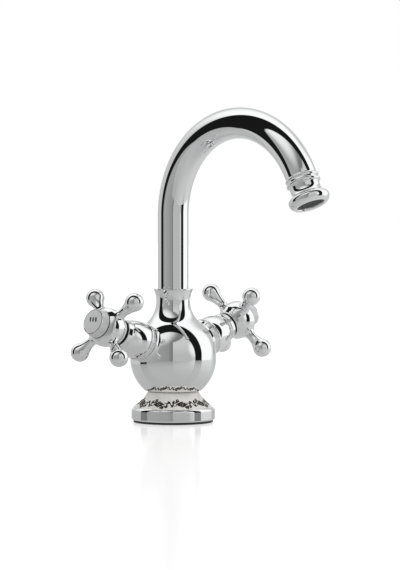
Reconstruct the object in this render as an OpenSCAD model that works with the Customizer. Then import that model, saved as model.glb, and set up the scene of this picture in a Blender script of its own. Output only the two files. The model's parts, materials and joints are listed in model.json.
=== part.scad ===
// Two-handle basin mixer: ball body on a ceramic pedestal, gooseneck swivel spout,
// two cross handles on inclined quarter-turn valves.
// Frame: origin on the deck, at the centre of the base. +Z is up, the spout points to -Y,
// the hot handle is at -X and the cold handle at +X.

/* [Base] */
// Outer radius of the rubber deck gasket
gasket_r = 28.2; // [27:0.1:29]
// Thickness of the deck gasket
gasket_h = 1.6; // [1:0.1:2]
// Outer radius of the chrome base ring
ring_r = 29.7; // [29:0.1:31]
// Height of the top of the base ring above the deck
ring_top = 9.9; // [9.5:0.1:11]
// Radius of the base block and of the holes around it
block_r = 21.8; // [21:0.1:22]

/* [Pedestal] */
// Radius of the ceramic pedestal at its foot
pedestal_foot_r = 28.3; // [27.5:0.1:28.6]
// Radius of the ceramic pedestal at its top
pedestal_top_r = 18.1; // [17.5:0.1:18.5]
// Height of the top of the ceramic pedestal
pedestal_top = 21.8; // [21:0.1:22]
// Radius of the hollow flare between top and foot
pedestal_flare_r = 25; // [22:0.5:30]

/* [Body] */
// Radius of the ball body
ball_r = 30.6; // [30:0.1:31]
// Height of the centre of the lower half of the ball
ball_z = 45.4; // [45:0.1:46]
// How much higher the centre of the upper half sits
ball_rise = 1.7; // [1:0.1:2]
// Thickness of the ball's wall
ball_wall = 3.2; // [2.5:0.1:4]
// Smallest radius of the neck
neck_r = 12.1; // [12:0.1:13]
// Height of the narrowest place of the neck
neck_z = 85.7; // [84:0.1:87]
// Height of the top of the collar
collar_top = 94.7; // [93:0.1:95]
// Radius of the collar's rim
collar_r = 14.2; // [14:0.1:15]

/* [Spout] */
// Outer radius of the spout tube
tube_r = 11; // [10.5:0.1:11]
// Wall thickness of the spout tube
tube_wall = 1.2; // [1:0.1:1.3]
// Height where the bend starts
bend_z = 146.5; // [140:0.5:150]
// Radius of the bend, to the middle of the tube
bend_r = 65; // [60:0.5:70]
// Angle of the bend
bend_angle = 155; // [150:1:160]
// Length from the end of the bend to the outlet's rim
bell_length = 21; // [20:0.5:22]

/* [Valves] */
// Slope of each valve's axis above the horizontal
valve_tilt = 19.3; // [18:0.1:21]
// Height where both valve axes meet the body's axis
valve_z = 47; // [46:0.1:48]
// Distance along the valve axis to the plane of the handle's arms
arms_at = 68.5; // [68:0.1:69]

/* [Handles] */
// Distance from the valve axis to the middle of an arm's ball
arm_reach = 28.2; // [27:0.1:29]
// Radius of the ball at an arm's end
arm_ball_r = 6.6; // [6:0.1:7]
// Smallest radius of an arm
arm_r = 3.4; // [3:0.1:4]
// Angle of the first arm, from the back towards the top
arm_clock = 47.5; // [45:0.5:50]
// Largest radius of the handle's hub
hub_r = 13.8; // [13.2:0.1:14]
// Radius of the index cap
cap_r = 9.1; // [8.8:0.1:9.4]

/* [Supply] */
// Radius of the tapped supply ports (M10 x 1)
port_r = 4.5; // [4.5:0.1:4.6]
// Depth of the supply ports
port_depth = 12; // [11:0.5:14]
// Distance of each supply port from the body's axis, sideways
port_x = 8; // [7.5:0.1:8]
// Radius of the tapped stud hole (M8)
stud_r = 3.4; // [3.3:0.1:3.5]
// Depth of the stud hole
stud_depth = 8; // [7:0.5:9]
// Distance of the stud hole behind the body's axis
stud_y = 14; // [13:0.5:15]

/* [Hidden] */
$fn = 64;

HOT = -1;
COLD = 1;
eps = 0.01;              // overlap that makes a cut come out clean
slack = 0.05;            // gap between pieces of one body that are assembled tight

// Heights in the pedestal and under the ball
cushion_h = 0.6;
pedestal_foot = ring_top + cushion_h / 2;
spigot_r = 12.4;         // the base block's upper part, which holds the pedestal on the body
ball_cut_z = pedestal_top + cushion_h;
block_top = 24;

// Swivel joint in the collar
tube_foot_z = 90.1;
spout_end_z = 76.2;
bush_foot_z = 78.2;
bush_r = 9.15;
swivel_r = 8.0;
swivel_gap = 0.06;
tube_bore_r = tube_r - tube_wall;

// Distances along a valve's axis, from the body's axis outwards
seat_s = 16;
boss_end_s = 31.1;
bonnet_ring_end_s = 34.4;
bonnet_end_s = 56.3;
hub_start_s = 58.3;
hub_front_s = arms_at + 7.3;
cap_face_s = arms_at + 14.3;
mark_depth = 0.3;

// Radii in the valve
thread_r = 9.0;
pocket_r = 7.6;
disc_r = 5.5;
chamber_r = 5.8;
stem_r = 4.0;
stem_bore_r = 4.06;

// Points of an arc round (cx, cy), from angle a0 to a1
function arc(cx, cy, r, a0, a1, n) =
    [for (i = [0:n]) let (a = a0 + (a1 - a0) * i / n) [cx + r * cos(a), cy + r * sin(a)]];

// A tube from z0 to z1
module tube(r_out, r_in, z0, z1) {
    translate([0, 0, z0])
        difference() {
            cylinder(r = r_out, h = z1 - z0);
            translate([0, 0, -1]) cylinder(r = r_in, h = z1 - z0 + 2);
        }
}

// A round bar from z0 to z1
module bar(r, z0, z1) {
    translate([0, 0, z0]) cylinder(r = r, h = z1 - z0);
}

// A ring of round section
module o_ring(r_out, section_r, z) {
    translate([0, 0, z])
        rotate_extrude() translate([r_out - section_r, 0]) circle(r = section_r, $fn = 24);
}

// Puts a piece on a valve's axis: its +Z points outwards along the axis, its +Y to the back
module on_valve(side) {
    mirror([side == HOT ? 1 : 0, 0, 0])
        translate([0, 0, valve_z]) rotate([0, 90 - valve_tilt, 0]) children();
}

// Puts a piece at the end of the bend: its +Z points the way the water leaves
module on_outlet() {
    translate([0, -bend_r * (1 - cos(bend_angle)), bend_z + bend_r * sin(bend_angle)])
        rotate([bend_angle, 0, 0]) children();
}

// ---- Base ----

module deck_gasket() {
    color("black") tube(gasket_r, block_r + 0.1, 0, gasket_h);
}

module base_ring() {
    chamfer = 1;
    top_round = 2;
    color("silver")
        rotate_extrude()
            polygon(concat(
                [[block_r + 0.1, gasket_h], [ring_r - chamfer, gasket_h], [ring_r, gasket_h + chamfer]],
                arc(ring_r - top_round, ring_top - top_round, top_round, 0, 90, 6),
                [[block_r + 0.1, ring_top]]
            ));
}

module base_block() {
    flange_top = ring_top - slack;
    color("goldenrod")
        difference() {
            union() {
                bar(block_r, 0, flange_top);
                bar(spigot_r, 0, block_top);
            }
            for (side = [HOT, COLD])
                translate([side * port_x, 0, 0]) {
                    bar(port_r, -1, port_depth);
                    bar(3, -1, block_top + 1);
                }
            translate([0, stud_y, 0]) bar(stud_r, -1, stud_depth);
        }
}

// The flare is a hollow arc through the foot's and the top's corners
module ceramic_pedestal() {
    foot = [pedestal_foot_r, pedestal_foot + 0.7];
    top = [pedestal_top_r, pedestal_top];
    chord = foot - top;
    half = norm(chord) / 2;
    sag_side = sqrt(pedestal_flare_r * pedestal_flare_r - half * half);
    centre = (foot + top) / 2 + [-chord[1], chord[0]] / norm(chord) * sag_side;
    a_top = atan2(top[1] - centre[1], top[0] - centre[0]);
    a_foot = atan2(foot[1] - centre[1], foot[0] - centre[0]);
    flare = arc(centre[0], centre[1], pedestal_flare_r,
                a_top < 0 ? a_top + 360 : a_top, a_foot < 0 ? a_foot + 360 : a_foot, 10);
    color("ivory")
        rotate_extrude()
            polygon(concat(
                flare,
                [[pedestal_foot_r, pedestal_foot], [24, pedestal_foot], [23, pedestal_foot + 3],
                 [15, pedestal_top - 4], [spigot_r + 0.4, pedestal_top - 3],
                 [spigot_r + 0.4, pedestal_top]]
            ));
}

module lower_cushion() {
    color("dimgray") tube(27.6, 24.2, ring_top, pedestal_foot);
}

module upper_cushion() {
    color("dimgray") tube(17.5, spigot_r + 0.1, pedestal_top, ball_cut_z);
}

// ---- Body ----

// Half outline of the ball, the neck and the collar, grown inwards by the wall
module ball_outline(wall) {
    upper_z = ball_z + ball_rise;
    intersection() {
        union() {
            translate([0, ball_z]) circle(r = ball_r - wall, $fn = 96);
            translate([0, upper_z]) circle(r = ball_r - wall, $fn = 96);
            translate([0, ball_z]) square([ball_r - wall, ball_rise]);
        }
        square([ball_r + 1, 200]);
    }
}

// The neck's waist is one hollow arc that touches the ball and ends at the collar's rim
module neck_outline() {
    upper_z = ball_z + ball_rise;
    rise = neck_z - upper_z;
    waist_r = (neck_r * neck_r + rise * rise - ball_r * ball_r) / (2 * (ball_r - neck_r));
    touch = atan2(rise, neck_r + waist_r);
    rim_h = 0.8;
    rim_angle = asin((collar_top - rim_h - neck_z) / waist_r);
    waist = arc(neck_r + waist_r, neck_z, waist_r, 180 + touch, 180 - rim_angle, 14);
    polygon(concat(
        [[0, upper_z]], waist,
        [[collar_r, collar_top - rim_h], [collar_r, collar_top - 0.3], [collar_r - 0.3, collar_top],
         [0, collar_top]]
    ));
}

module body_shell() {
    floor_thickness = 2.4;
    seal_r = 13.2;
    color("silver")
        difference() {
            union() {
                rotate_extrude()
                    union() {
                        intersection() {
                            ball_outline(0);
                            translate([0, ball_cut_z]) square([ball_r + 1, 100]);
                        }
                        neck_outline();
                    }
                for (side = [HOT, COLD]) on_valve(side) bar(seal_r, 20, boss_end_s);
            }
            difference() {
                rotate_extrude()
                    intersection() {
                        ball_outline(ball_wall);
                        translate([0, ball_cut_z + floor_thickness]) square([ball_r, 100]);
                    }
            }
            bar(spigot_r + slack, ball_cut_z - 1, ball_cut_z + floor_thickness + 1);
            bar(bush_r + slack, 68, collar_top + 1);
            bar(tube_r + 0.35, tube_foot_z - 0.6, collar_top + 1);
            for (side = [HOT, COLD]) on_valve(side) bar(thread_r + slack, 20, boss_end_s + 1);
        }
}

module mixing_core() {
    core_r = 13;
    barrel_end_s = 24;
    riser_r = 8.5;
    outlet_angle = 67;
    color("peru")
        difference() {
            union() {
                bar(core_r, ball_cut_z + 2.5, 62);
                bar(riser_r, 62, spout_end_z - 0.4);
                for (side = [HOT, COLD]) on_valve(side) bar(10, 4, barrel_end_s);
            }
            bar(spigot_r + slack, ball_cut_z, block_top + slack);
            bar(5.5, 58, spout_end_z);
            for (side = [HOT, COLD]) {
                translate([side * port_x, 0, 0]) bar(3, block_top - 1, 50);
                on_valve(side) {
                    bar(3.5, 6, seat_s + 1);
                    bar(pocket_r, seat_s, barrel_end_s + 1);
                    translate([0, 0, 21]) rotate([0, -outlet_angle - 66, 0]) bar(2.8, 0, 22);
                }
            }
        }
}

module spout_bush() {
    color("white") tube(bush_r, swivel_r + swivel_gap, bush_foot_z, tube_foot_z - 0.7);
}

module spout_thrust_ring() {
    color("white") tube(tube_r + 0.2, swivel_r + 0.3, tube_foot_z - 0.6, tube_foot_z - 0.05);
}

// ---- Valves ----

module cartridge(side) {
    hex_r = 11.2;
    hex_h = 5;
    top_s = 54;
    color("goldenrod")
        on_valve(side)
            difference() {
                union() {
                    bar(pocket_r - slack, seat_s + 0.3, 24);
                    bar(thread_r, 24 + slack, bonnet_ring_end_s);
                    translate([0, 0, bonnet_ring_end_s]) cylinder(r = hex_r, h = hex_h, $fn = 6);
                    bar(6.5, bonnet_ring_end_s, top_s);
                }
                bar(chamber_r, seat_s, 24.5);
                bar(stem_bore_r, 24, top_s + 1);
                for (turn = [0, 90])
                    translate([0, 0, 21.5]) rotate([90, 0, turn]) bar(1.8, -9, 9);
            }
}

module seat_seal(side) {
    color("black") on_valve(side) tube(disc_r, 3.6, seat_s + slack, seat_s + 1.5);
}

// Two round ports face each other across each disc
module disc_ports(z0, z1) {
    for (turn = [0, 180]) rotate([0, 0, turn]) translate([0, 2.7, 0]) bar(1.5, z0, z1);
}

module fixed_disc(side) {
    color("white")
        on_valve(side)
            difference() {
                bar(disc_r, seat_s + 1.55, seat_s + 3.8);
                disc_ports(seat_s, seat_s + 5);
            }
}

module bonnet_ring(side) {
    round_r = 1.2;
    color("silver")
        on_valve(side)
            rotate_extrude()
                polygon(concat(
                    [[thread_r + 0.3, boss_end_s + slack]],
                    arc(13.8 - round_r, boss_end_s + slack + round_r, round_r, -90, 0, 4),
                    arc(13.8 - round_r, bonnet_ring_end_s - round_r, round_r, 0, 90, 4),
                    [[thread_r + 0.3, bonnet_ring_end_s]]
                ));
}

// Barrel shaped sleeve with a bead at its foot and a rim next to the handle
module bonnet(side) {
    wide_r = 13.3;
    wide_s = 39.5;
    curve_r = 24;
    foot_s = bonnet_ring_end_s + slack;
    bead_round = 1;
    bead_r = 13.9;
    bead_end_s = 36.8;
    rim_s = 52.9;
    rim_r = 10.6;
    bead = concat(
        arc(bead_r - bead_round, foot_s + bead_round, bead_round, -90, 0, 4),
        arc(bead_r - bead_round, bead_end_s - bead_round, bead_round, 0, 80, 4)
    );
    barrel = arc(wide_r - curve_r, wide_s, curve_r, asin((bead_end_s - wide_s) / curve_r), 29, 10);
    rim = concat(
        [[10, 52], [rim_r - 0.2, rim_s - 0.2], [rim_r, rim_s + 0.2]],
        arc(9.5, bonnet_end_s - 0.5, 0.5, 10, 90, 4)
    );
    color("silver")
        on_valve(side)
            rotate_extrude()
                polygon(concat(
                    bead, barrel, rim,
                    [[6.9, bonnet_end_s], [6.9, 53], [9.1, 49], [11.3, 45], [11.7, 40], [11.5, foot_s]]
                ));
}

// Black ring that closes the gap between the bonnet and the turning handle
module wiper(side) {
    color("black") on_valve(side) tube(9.3, 5.5, bonnet_end_s + slack, hub_start_s - 0.2);
}

// ---- Spout ----

module spout_tube() {
    socket = 4.2;
    color("silver") {
        tube(tube_r, tube_bore_r, tube_foot_z, bend_z);
        translate([0, -bend_r, bend_z])
            rotate([90, 0, 90])
                rotate_extrude(angle = bend_angle, $fn = 128)
                    translate([bend_r, 0])
                        difference() {
                            circle(r = tube_r);
                            circle(r = tube_bore_r);
                        }
        on_outlet() tube(tube_r, tube_bore_r, 0, socket);
    }
}

module spout_spigot() {
    groove_r = 6.4;
    color("goldenrod")
        difference() {
            union() {
                bar(swivel_r, spout_end_z, tube_foot_z);
                bar(tube_bore_r - slack, tube_foot_z, 99);
            }
            bar(5.6, spout_end_z - 1, 100);
            for (z = [81, 85]) tube(swivel_r + 1, groove_r, z - 0.9, z + 0.9);
            tube(swivel_r + 1, 7.2, 76.8, 77.9);
        }
}

module spout_o_rings() {
    color("black") for (z = [81, 85]) o_ring(swivel_r - 0.02, 0.78, z);
}

module spout_circlip() {
    color("gray")
        difference() {
            tube(8.85, 7.25, 76.9, 77.8);
            translate([-1.2, 0, 76]) cube([2.4, 12, 3]);
        }
}

// Two beads, a hollow waist and a thick rounded lip
module outlet_bell() {
    lip_s = bell_length - 4.8;
    bead_1 = arc(10.4, 0.7, 1.4, -60, 60, 5);
    bead_2 = arc(10.5, 4.1, 1.5, -60, 67.5, 6);
    waist = arc(16.93, lip_s - 7.6, 6.38, 180, 126, 8);
    lip_back = arc(11.4, lip_s, 3.1, -48, 0, 5);
    lip_front = arc(9.5, lip_s, 5, 10, 68, 6);
    lip_inside = arc(10.85, lip_s + 3.34, 1.4, 88, 180, 6);
    color("silver")
        on_outlet()
            rotate_extrude()
                polygon(concat(
                    [[tube_r + slack, -0.9]], bead_1, bead_2, [[10.55, 6.3]], waist, lip_back, lip_front, lip_inside,
                    [[9.4, 19.3], [9.4, 9.5], [8.4, 9.5], [8.4, 4.3], [tube_r + slack, 4.3]]
                ));
}

module aerator_washer() {
    color("black") on_outlet() tube(9.3, 6.5, 9.6, 11);
}

module aerator_housing() {
    color("white") on_outlet() tube(9.35, 8.3, 11.05, 19.2);
}

module aerator_diffuser() {
    color("white")
        on_outlet()
            difference() {
                bar(8.25, 11.6, 13.4);
                for (turn = [0:60:300]) rotate([0, 0, turn]) translate([4.8, 0, 0]) bar(1.1, 11, 14);
                bar(1.1, 11, 14);
            }
}

module aerator_screen() {
    mesh_pitch = 2.4;
    wire = 0.7;
    screen_r = 8.25;
    color("gray")
        on_outlet()
            translate([0, 0, 18])
                linear_extrude(0.5)
                    union() {
                        difference() {
                            circle(r = screen_r);
                            circle(r = screen_r - 0.9);
                        }
                        intersection() {
                            circle(r = screen_r - 0.5);
                            union()
                                for (i = [-3:3]) {
                                    translate([i * mesh_pitch - wire / 2, -screen_r]) square([wire, 2 * screen_r]);
                                    translate([-screen_r, i * mesh_pitch - wire / 2]) square([2 * screen_r, wire]);
                                }
                        }
                    }
}

// ---- Handles ----

module handle(side) {
    belly_s = 69.2;
    belly_curve_r = 16;
    shoulder_r = 4;
    lip_r = 2.6;
    shoulder_at = [hub_r - belly_curve_r + (belly_curve_r - shoulder_r) * cos(14),
                   belly_s + (belly_curve_r - shoulder_r) * sin(14)];
    lip_at = shoulder_at + (shoulder_r - lip_r) * [cos(50), sin(50)];
    hub = concat(
        [[0, hub_start_s], [9.3, hub_start_s], [9.7, hub_start_s + 0.4], [9.7, hub_start_s + 1],
         [9.5, hub_start_s + 1.4], [10.6, hub_start_s + 2.5]],
        arc(hub_r - belly_curve_r, belly_s, belly_curve_r, -21, 14, 8),
        arc(shoulder_at[0], shoulder_at[1], shoulder_r, 20, 50, 4),
        arc(lip_at[0], lip_at[1], lip_r, 57, 90, 4),
        [[0, lip_at[1] + lip_r]]
    );
    neck_at = 16;
    color("silver")
        on_valve(side)
            difference() {
                union() {
                    rotate_extrude() polygon(hub);
                    for (turn = [0:90:270])
                        translate([0, 0, arms_at]) rotate([0, 0, arm_clock + turn]) rotate([-90, 0, 0]) {
                            translate([0, 0, 11]) cylinder(r1 = 4.6, r2 = arm_r, h = neck_at - 11);
                            translate([0, 0, neck_at]) cylinder(r1 = arm_r, r2 = 4.9, h = arm_reach - 4.4 - neck_at);
                            translate([0, 0, arm_reach]) sphere(r = arm_ball_r);
                        }
                }
                bar(stem_r + 0.15, hub_start_s - 1, arms_at - 2);
                bar(2.2, arms_at - 3, hub_front_s + 1);
                bar(7.6, arms_at + 2.5, hub_front_s + 1);
            }
}

module spindle(side) {
    color("goldenrod")
        on_valve(side)
            difference() {
                union() {
                    bar(disc_r - 0.1, seat_s + 6.1, 24.3);
                    bar(stem_r, 24, 56);
                    translate([0, 0, 55.9]) cylinder(r = stem_r, h = arms_at - 2.2 - 55.9, $fn = 12);
                }
                bar(2, 56, arms_at);
                for (s = [45, 49]) tube(stem_r + 1, 3.05, s - 0.55, s + 0.55);
            }
}

module spindle_o_rings(side) {
    color("black") on_valve(side) for (s = [45, 49]) o_ring(stem_r - 0.02, 0.46, s);
}

module moving_disc(side) {
    color("white")
        on_valve(side)
            difference() {
                bar(disc_r, seat_s + 3.85, seat_s + 6.05);
                rotate([0, 0, 90]) disc_ports(seat_s, seat_s + 8);
            }
}

module handle_screw(side) {
    head_s = arms_at + 2.55;
    color("gray")
        on_valve(side)
            difference() {
                union() {
                    bar(1.95, 57, head_s + 0.1);
                    bar(3.9, head_s, head_s + 2.6);
                }
                translate([0, 0, head_s + 1]) cylinder(r = 1.7, h = 3, $fn = 6);
            }
}

// Outline of the mark on the hot cap: three upright strokes
module hot_mark_outline() {
    for (i = [-1:1]) translate([-2.9, i * 2.2 - 0.4]) square([2.8, 0.8]);
}

// Outline of the mark on the cold cap: a six-pointed frost star
module cold_mark_outline() {
    translate([-1.4, 0]) for (turn = [0, 60, 120]) rotate(turn) square([3.4, 0.55], center = true);
}

module index_mark(side) {
    color("dimgray")
        on_valve(side)
            translate([0, 0, cap_face_s - mark_depth])
                linear_extrude(mark_depth - slack)
                    if (side == HOT) hot_mark_outline(); else cold_mark_outline();
}

module index_cap(side) {
    foot_s = hub_front_s - 1.8;
    edge = 0.5;
    cap = concat(
        [[0, foot_s], [7.5, foot_s], [7.5, hub_front_s + slack], [10, hub_front_s + slack],
         [cap_r + 0.2, hub_front_s + 1.2], [cap_r, cap_face_s - edge], [cap_r - edge, cap_face_s], [0, cap_face_s]]
    );
    color("silver")
        on_valve(side)
            difference() {
                rotate_extrude() polygon(cap);
                bar(5.5, foot_s - 1, cap_face_s - 3);
                translate([0, 0, cap_face_s - mark_depth])
                    linear_extrude(1)
                        if (side == HOT) hot_mark_outline(); else cold_mark_outline();
            }
}

deck_gasket();
base_ring();
ceramic_pedestal();
lower_cushion();
upper_cushion();
base_block();
body_shell();
mixing_core();
spout_bush();
spout_thrust_ring();
cartridge(HOT);  // hot_cartridge
seat_seal(HOT);  // hot_seat_seal
fixed_disc(HOT);  // hot_fixed_disc
bonnet_ring(HOT);  // hot_bonnet_ring
bonnet(HOT);  // hot_bonnet
wiper(HOT);  // hot_wiper
cartridge(COLD);  // cold_cartridge
seat_seal(COLD);  // cold_seat_seal
fixed_disc(COLD);  // cold_fixed_disc
bonnet_ring(COLD);  // cold_bonnet_ring
bonnet(COLD);  // cold_bonnet
wiper(COLD);  // cold_wiper
spout_tube();
spout_spigot();
spout_o_rings();
spout_circlip();
outlet_bell();
aerator_washer();
aerator_housing();
aerator_diffuser();
aerator_screen();
handle(HOT);  // hot_handle
spindle(HOT);  // hot_spindle
spindle_o_rings(HOT);  // hot_spindle_o_rings
moving_disc(HOT);  // hot_moving_disc
handle_screw(HOT);  // hot_handle_screw
index_cap(HOT);  // hot_index_cap
index_mark(HOT);  // hot_index_mark
handle(COLD);  // cold_handle
spindle(COLD);  // cold_spindle
spindle_o_rings(COLD);  // cold_spindle_o_rings
moving_disc(COLD);  // cold_moving_disc
handle_screw(COLD);  // cold_handle_screw
index_cap(COLD);  // cold_index_cap
index_mark(COLD);  // cold_index_mark
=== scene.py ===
"""Two-handle basin mixer: the looks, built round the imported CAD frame.

Lengths in the pieces are millimetres and become metres when a mesh is made. Round pieces are turned from
an outline, the spout is swept along its bend and the cross handles are cast from a distance function.
"""
import json
import math

import bmesh
import bpy
import numpy as np
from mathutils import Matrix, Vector


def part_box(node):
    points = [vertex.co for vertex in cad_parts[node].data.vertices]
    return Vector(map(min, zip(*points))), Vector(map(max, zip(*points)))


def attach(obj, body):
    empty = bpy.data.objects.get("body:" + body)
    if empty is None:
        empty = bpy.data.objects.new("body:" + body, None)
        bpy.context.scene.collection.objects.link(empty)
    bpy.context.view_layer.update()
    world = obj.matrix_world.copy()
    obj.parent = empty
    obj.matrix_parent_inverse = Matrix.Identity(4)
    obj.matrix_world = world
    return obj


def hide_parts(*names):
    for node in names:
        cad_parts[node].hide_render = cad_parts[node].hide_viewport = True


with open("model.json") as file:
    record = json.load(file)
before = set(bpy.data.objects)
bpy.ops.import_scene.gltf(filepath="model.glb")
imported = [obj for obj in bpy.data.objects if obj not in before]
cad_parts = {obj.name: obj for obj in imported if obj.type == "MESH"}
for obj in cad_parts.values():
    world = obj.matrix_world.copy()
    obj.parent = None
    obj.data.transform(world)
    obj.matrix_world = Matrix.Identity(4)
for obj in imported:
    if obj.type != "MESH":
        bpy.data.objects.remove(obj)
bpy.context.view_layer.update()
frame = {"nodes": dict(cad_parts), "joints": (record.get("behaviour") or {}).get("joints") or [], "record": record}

MM = 0.001
UP = np.array([0.0, 0.0, 1.0])
BACK = np.array([0.0, 1.0, 0.0])


# ---- Sizes, in mm ----

def node_box(node):
    """Lowest and highest corner of a CAD node in mm."""
    low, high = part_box(node)
    return np.array(low) / MM, np.array(high) / MM


GASKET_R, _, GASKET_TOP = node_box("deck_gasket")[1]
RING_R, _, RING_TOP = node_box("base_ring")[1]
PEDESTAL_FOOT_R, _, PEDESTAL_TOP = node_box("ceramic_pedestal")[1]
PEDESTAL_FOOT = node_box("ceramic_pedestal")[0][2]
_, BALL_R, COLLAR_TOP = node_box("body_shell")[1]
BALL_CUT = node_box("body_shell")[0][2]
TUBE_R, _, TUBE_TOP = node_box("spout_tube")[1]
TUBE_FOOT = node_box("spout_tube")[0][2]
GAP = 0.05                   # between pieces that are pressed together

# Base and pedestal
BASE_HOLE_R = 21.9
PEDESTAL_TOP_R = 18.1
PEDESTAL_EDGE = 0.7          # straight edge under the flare
FLARE_R = 25
SPIGOT_R = 12.45

# Body
BALL_Z = 45.4                # centre of the ball's lower half
BALL_RISE = 1.7              # how much higher the centre of its upper half sits
BALL_WALL = 3.2
NECK_R = 12.1
NECK_Z = 85.7
COLLAR_R = 14.2
COLLAR_RIM = 0.8

# Spout
TUBE_WALL = 1.2
BEND_R = 65
BEND_ANGLE = math.radians(155)
BEND_Z = TUBE_TOP - BEND_R - TUBE_R
TUBE_TAIL = 4.2              # straight end of the tube inside the bell
BELL_LENGTH = 21

# Valves, as distances along their axis from the body's axis
BOSS_BORE_R = 9.1
BOSS_R = 13.2
BOSS_START = 26.5
BOSS_END = 31.1
BONNET_RING_END = 34.4
BONNET_END = 56.3
HUB_START = 58.3
ARMS_AT = 68.5
HUB_FRONT = ARMS_AT + 7.3
CAP_FACE = ARMS_AT + 14.3
BODY_AXIS_CENTRE = 47        # height where both valve axes meet the body's axis

# Handles
HUB_R = 13.8
HUB_BELLY_AT = 69.2          # where the hub is widest
HUB_BELLY_CURVE = 16
CAP_R = 9.1
PLATE_R = CAP_R - 0.8        # the plate inside the cap's rim
PLATE_DOME_R = 150
ARM_REACH = 28.2
ARM_BALL_R = 6.6
ARM_R = 3.4
ARM_FLARE_R = 18             # hollow arc between an arm and its ball
ARM_BLEND = 2.6              # width of the hollow between an arm and the hub
ARM_CLOCK = math.radians(47.5)
SPINDLE_BORE_R = 4.15
SPINDLE_BORE_END = ARMS_AT - 2
SCREW_BORE_R = 2.2
CAP_RECESS_R = 7.6
CAP_RECESS_FLOOR = ARMS_AT + 2.5


# ---- Places ----

class Placement:
    """Where a piece built in its own mm frame goes: its origin in mm and its three axes."""

    def __init__(self, origin, z_axis, x_axis=None):
        self.origin = np.array(origin, float)
        z = np.array(z_axis, float) / np.linalg.norm(z_axis)
        if x_axis is None:
            x_axis = (1, 0, 0) if abs(z[0]) < 0.7 else (0, 1, 0)
        hint = np.array(x_axis, float)
        x = hint - z * (hint @ z)
        x /= np.linalg.norm(x)
        self.axes = np.stack([x, np.cross(z, x), z])

    def points(self, local):
        return (self.origin + np.asarray(local) @ self.axes) * MM

    def directions(self, local):
        return np.asarray(local) @ self.axes


UPRIGHT = Placement((0, 0, 0), UP)
OUTLET = Placement(
    (0, -BEND_R * (1 - math.cos(BEND_ANGLE)), BEND_Z + BEND_R * math.sin(BEND_ANGLE)),
    (0, -math.sin(BEND_ANGLE), math.cos(BEND_ANGLE)),
)


def spokes(count):
    """Unit vectors in the plane, evenly spread round a full turn."""
    turn = np.linspace(0, 2 * math.pi, count, endpoint=False)
    return np.stack([np.cos(turn), np.sin(turn)], axis=1)


def valve_axis(side):
    """The direction outwards along a valve, from its joint."""
    joint = next(j for j in frame["joints"] if j["name"] == side + "_valve_turn")
    return np.array(joint["axis"], float)


VALVES = {side: Placement((0, 0, BODY_AXIS_CENTRE), valve_axis(side), BACK) for side in ("hot", "cold")}


# ---- Camera ----

CAMERA_AZIMUTH = math.radians(-45.243)
CAMERA_ELEVATION = math.radians(2.576)
CAMERA_DISTANCE = 2.1651
CAMERA_LENS = 192.98
AIM_SIDEWAYS = 0.01904       # the aim is this far to the right of the body's axis
AIM_HEIGHT = 0.09711

TO_CAMERA = np.array([
    math.sin(CAMERA_AZIMUTH) * math.cos(CAMERA_ELEVATION),
    -math.cos(CAMERA_AZIMUTH) * math.cos(CAMERA_ELEVATION),
    math.sin(CAMERA_ELEVATION),
])
TO_RIGHT = np.array([math.cos(CAMERA_AZIMUTH), math.sin(CAMERA_AZIMUTH), 0.0])


def add_camera():
    data = bpy.data.cameras.new("camera")
    data.lens = CAMERA_LENS
    data.clip_start = 0.1
    data.clip_end = 30
    camera = bpy.data.objects.new("camera", data)
    aim = Vector(TO_RIGHT * AIM_SIDEWAYS + UP * AIM_HEIGHT)
    back = Vector(TO_CAMERA)
    camera.location = aim + back * CAMERA_DISTANCE
    camera.rotation_mode = "QUATERNION"
    camera.rotation_quaternion = (-back).to_track_quat("-Z", "Y")
    bpy.context.scene.collection.objects.link(camera)
    bpy.context.scene.camera = camera


# ---- Nodes ----

class Tree:
    """The node tree of a material or world, and short ways to fill it."""

    def __init__(self, owner):
        owner.use_nodes = True
        self.tree = owner.node_tree
        self.tree.nodes.clear()

    def add(self, kind, inputs=(), **settings):
        """A new node with its settings, and its inputs joined to sockets or set to constants."""
        node = self.tree.nodes.new(kind)
        for key, value in settings.items():
            setattr(node, key, value)
        for name, value in dict(inputs).items():
            if isinstance(value, bpy.types.NodeSocket):
                self.tree.links.new(value, node.inputs[name])
            else:
                node.inputs[name].default_value = value
        return node

    def finish(self, shader, output="ShaderNodeOutputMaterial"):
        self.add(output, {"Surface": shader.outputs[0]})

    def maths(self, operation, *values):
        return self.add("ShaderNodeMath", dict(enumerate(values)), operation=operation).outputs[0]

    def along(self, vector, direction):
        """How far a vector reaches along a fixed direction."""
        node = self.add("ShaderNodeVectorMath", {0: vector, 1: tuple(direction)}, operation="DOT_PRODUCT")
        return node.outputs["Value"]

    def ramp(self, value, low, high, out_low=0.0, out_high=1.0):
        """A smooth step from out_low to out_high while value goes from low to high."""
        inputs = {"Value": value, "From Min": low, "From Max": high, "To Min": out_low, "To Max": out_high}
        return self.add("ShaderNodeMapRange", inputs, interpolation_type="SMOOTHSTEP").outputs["Result"]

    def mix(self, share, first, second):
        """A number between first and second."""
        return self.add("ShaderNodeMix", {0: share, 2: first, 3: second}, data_type="FLOAT").outputs[0]

    def mix_colour(self, share, first, second):
        return self.add("ShaderNodeMix", {0: share, 6: first, 7: second}, data_type="RGBA").outputs[2]


# ---- Studio ----

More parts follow.
